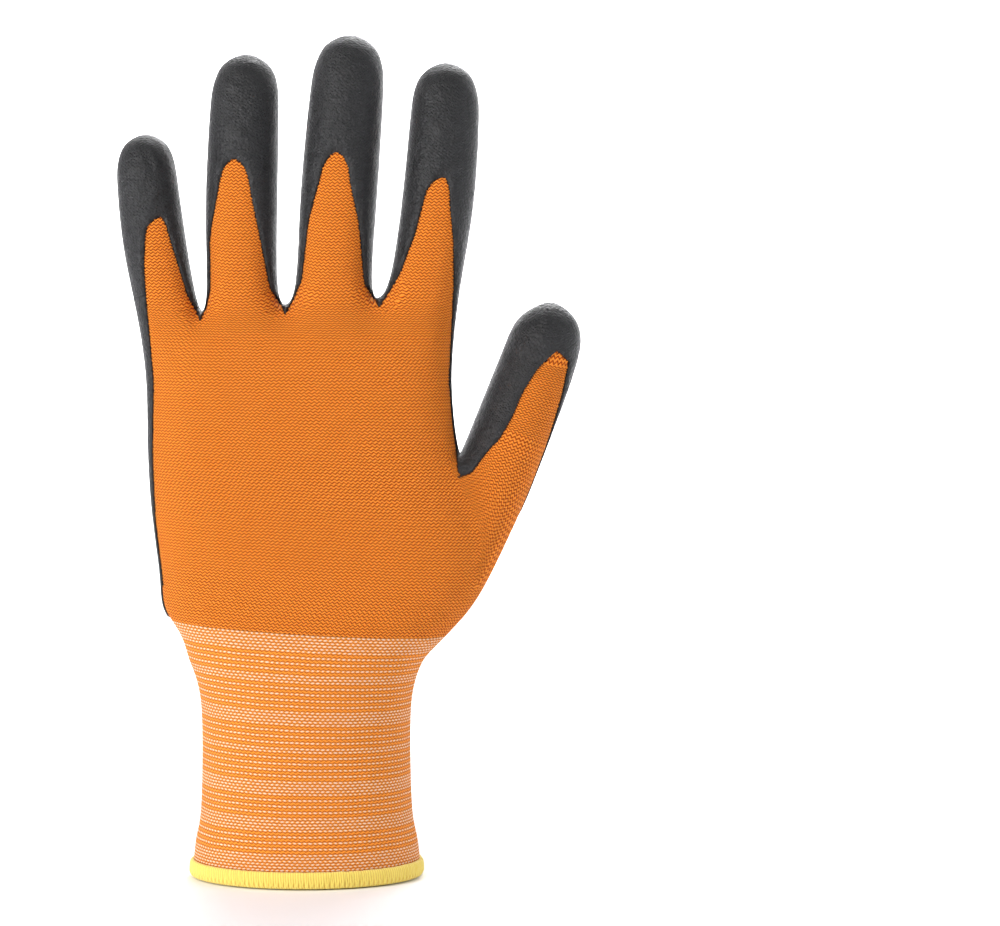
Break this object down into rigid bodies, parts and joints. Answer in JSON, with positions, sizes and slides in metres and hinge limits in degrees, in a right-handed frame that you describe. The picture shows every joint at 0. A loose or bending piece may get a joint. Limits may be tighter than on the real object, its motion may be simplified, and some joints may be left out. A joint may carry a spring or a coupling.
{
  "type": "mechanic glove",
  "caption": "Knitted work glove for the left hand with a dipped palm, raised grip bars on palm and fingertips, an elastic wristband and an overlocked hem.",
  "frame": {"origin": "centre of the wrist opening at the hem's lower edge", "axes": "+Z to the fingertips, +X to the thumb, -Y out of the back of the hand"},
  "size_m": [0.1379, 0.0522, 0.2495],
  "materials": {
    "hand_knit": "fine plain knit of orange nylon yarn, wavy courses",
    "cuff_knit": "rib of orange yarn with pale elastic thread in bands",
    "hem_yarn": "thick overlock stitches of yellow yarn",
    "dipped_coat": "black dipped nitrile, finely grained, satin",
    "grip_print": "glossy orange printed bars with rounded edges"
  },
  "bodies": {
    "root": {"knit_hand": "hand_knit", "cuff": "cuff_knit", "hem": "hem_yarn", "coating": "dipped_coat", "grip_pinky_tip": "grip_print", "grip_pinky_knuckle": "grip_print", "grip_ring_tip": "grip_print", "grip_ring_knuckle": "grip_print", "grip_middle_tip": "grip_print", "grip_middle_knuckle": "grip_print", "grip_index_tip": "grip_print", "grip_index_knuckle": "grip_print", "grip_thumb_tip": "grip_print", "grip_upper_arc": "grip_print", "grip_lower_arc": "grip_print"}
  },
  "joints": []
}
